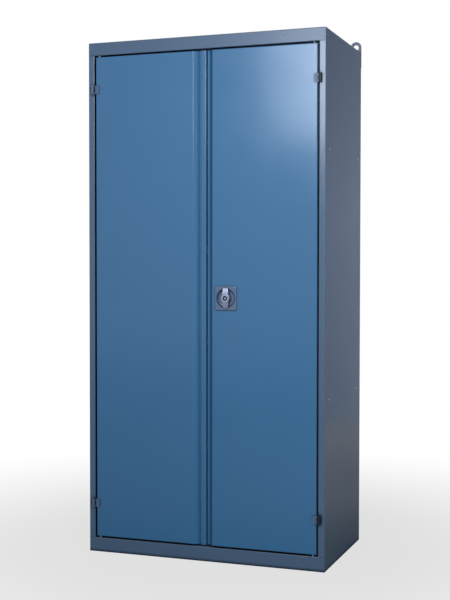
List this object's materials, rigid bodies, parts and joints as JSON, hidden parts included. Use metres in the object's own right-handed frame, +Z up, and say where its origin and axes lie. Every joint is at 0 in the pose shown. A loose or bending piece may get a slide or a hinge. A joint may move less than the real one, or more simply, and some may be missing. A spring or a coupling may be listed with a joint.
{
  "type": "tool cabinet with doors",
  "caption": "Free-standing steel tool cabinet with hinged doors, a recessed centre channel, a sunk turn handle driving lock rods, slotted uprights, shelves and wall ears.",
  "frame": {"origin": "on the floor, under the middle of the cabinet's overall width and depth (handle and wall ears included)", "axes": "+X to the cabinet's right as seen from in front, +Y from the doors to the back, +Z up"},
  "size_m": [0.9526, 0.562, 2.024],
  "materials": {
    "body_paint": "dark slate-blue powder coat, satin, on folded steel sheet",
    "ear_paint": "dark grey powder coat on steel plate",
    "door_paint": "mid-blue powder coat, satin, on folded steel sheet",
    "hinge_paint": "welded steel hinge, powder coated with the cabinet",
    "shelf_paint": "light grey powder coat on folded steel sheet",
    "zinc_plate": "bright zinc-plated steel",
    "escutcheon_paint": "grey powder coat on a zinc die casting",
    "satin_chrome": "satin chrome-plated zinc die casting",
    "black_plastic": "black moulded cap of the key cylinder",
    "nickel": "nickel-plated brass plug",
    "black_nylon": "moulded nylon rod guides",
    "light_plastic": "light grey moulded polyethylene pads",
    "stop_rubber": "self-adhesive rubber dots"
  },
  "bodies": {
    "carcass": {"right_side_panel": "body_paint", "left_side_panel": "body_paint", "roof_panel": "body_paint", "bottom_rail": "body_paint", "floor_panel": "body_paint", "back_panel": "body_paint", "right_wall_ear": "ear_paint", "left_wall_ear": "ear_paint", "front_right_upright": "body_paint", "rear_right_upright": "body_paint", "front_left_upright": "body_paint", "rear_left_upright": "body_paint", "upright_rivets": "zinc_plate", "shelf_clips": "zinc_plate", "frame_hinge_knuckles": "hinge_paint", "hinge_pins": "zinc_plate", "keeper_plates": "zinc_plate", "corner_buffers": "light_plastic", "door_stop_pads": "stop_rubber", "shelf_1": "shelf_paint", "shelf_2": "shelf_paint", "shelf_3": "shelf_paint", "shelf_4": "shelf_paint"},
    "left_door": {"left_door_panel": "door_paint", "centre_strip": "door_paint", "left_door_stiffener": "door_paint", "left_hinge_leaves": "hinge_paint", "bolt_brackets": "zinc_plate"},
    "left_upper_bolt": {"upper_bolt": "zinc_plate"},
    "left_lower_bolt": {"lower_bolt": "zinc_plate"},
    "right_door": {"right_door_panel": "door_paint", "right_door_stiffener": "door_paint", "right_hinge_leaves": "hinge_paint", "lock_escutcheon": "escutcheon_paint", "lock_case": "zinc_plate", "lock_cover": "zinc_plate", "lock_screws": "zinc_plate", "rod_guides": "black_nylon"},
    "handle": {"turn_handle": "satin_chrome", "lock_barrel": "black_plastic", "lock_spindle": "zinc_plate", "drive_gear": "zinc_plate"},
    "key": {"key_plug": "nickel"},
    "upper_lock_rod": {"upper_rod": "zinc_plate"},
    "lower_lock_rod": {"lower_rod": "zinc_plate"}
  },
  "joints": [
    {"name": "right_door_hinge", "type": "hinge", "parent": "carcass", "child": "right_door", "pos_m": [0.4555, -0.275, 0.99], "axis": [0, 0, 1], "range_deg": [0, 180]},
    {"name": "left_door_hinge", "type": "hinge", "parent": "carcass", "child": "left_door", "pos_m": [-0.4555, -0.275, 0.99], "axis": [0, 0, -1], "range_deg": [0, 180]},
    {"name": "handle_turn", "type": "hinge", "parent": "right_door", "child": "handle", "pos_m": [0.0922, -0.259, 0.9975], "axis": [0, 1, 0], "range_deg": [0, 90]},
    {"name": "upper_rod_slide", "type": "slide", "parent": "right_door", "child": "upper_lock_rod", "axis": [0, 0, 1], "range_m": [0, 0.01885]},
    {"name": "lower_rod_slide", "type": "slide", "parent": "right_door", "child": "lower_lock_rod", "axis": [0, 0, -1], "range_m": [0, 0.01885]},
    {"name": "key_turn", "type": "hinge", "parent": "handle", "child": "key", "pos_m": [0.0922, -0.278, 0.9975], "axis": [0, 1, 0], "range_deg": [0, 90]},
    {"name": "upper_bolt_slide", "type": "slide", "parent": "left_door", "child": "left_upper_bolt", "axis": [0, 0, 1], "range_m": [0, 0.018]},
    {"name": "lower_bolt_slide", "type": "slide", "parent": "left_door", "child": "left_lower_bolt", "axis": [0, 0, -1], "range_m": [0, 0.018]}
  ],
  "couplings": [
    {"joint": "handle_turn", "follows": "upper_rod_slide", "rad_per_m": 83.333},
    {"joint": "lower_rod_slide", "follows": "upper_rod_slide", "ratio": 1}
  ]
}
